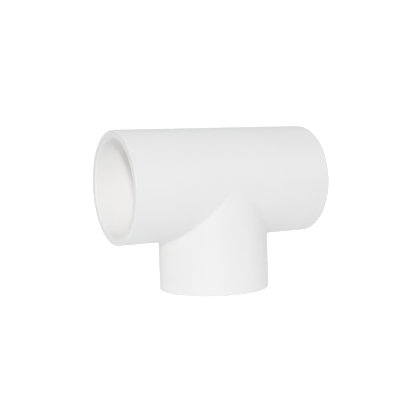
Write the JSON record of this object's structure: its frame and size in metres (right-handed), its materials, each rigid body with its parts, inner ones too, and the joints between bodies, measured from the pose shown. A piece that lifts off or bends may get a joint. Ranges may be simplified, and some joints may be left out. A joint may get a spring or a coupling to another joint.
{
  "type": "equal tee pipe fitting",
  "caption": "Plain white plastic pipe tee: a straight run with a branch of the same size at a right angle, and a smooth slip socket at every end.",
  "frame": {"origin": "centre of the branch mouth, which the tee stands on", "axes": "+X along the run, from the left socket to the right one; +Z from the branch mouth up to the run"},
  "size_m": [0.142, 0.074, 0.108],
  "materials": {
    "white_pvc": "satin"
  },
  "bodies": {
    "root": {"junction_body": "white_pvc", "left_socket": "white_pvc", "right_socket": "white_pvc", "branch_socket": "white_pvc"}
  },
  "joints": []
}
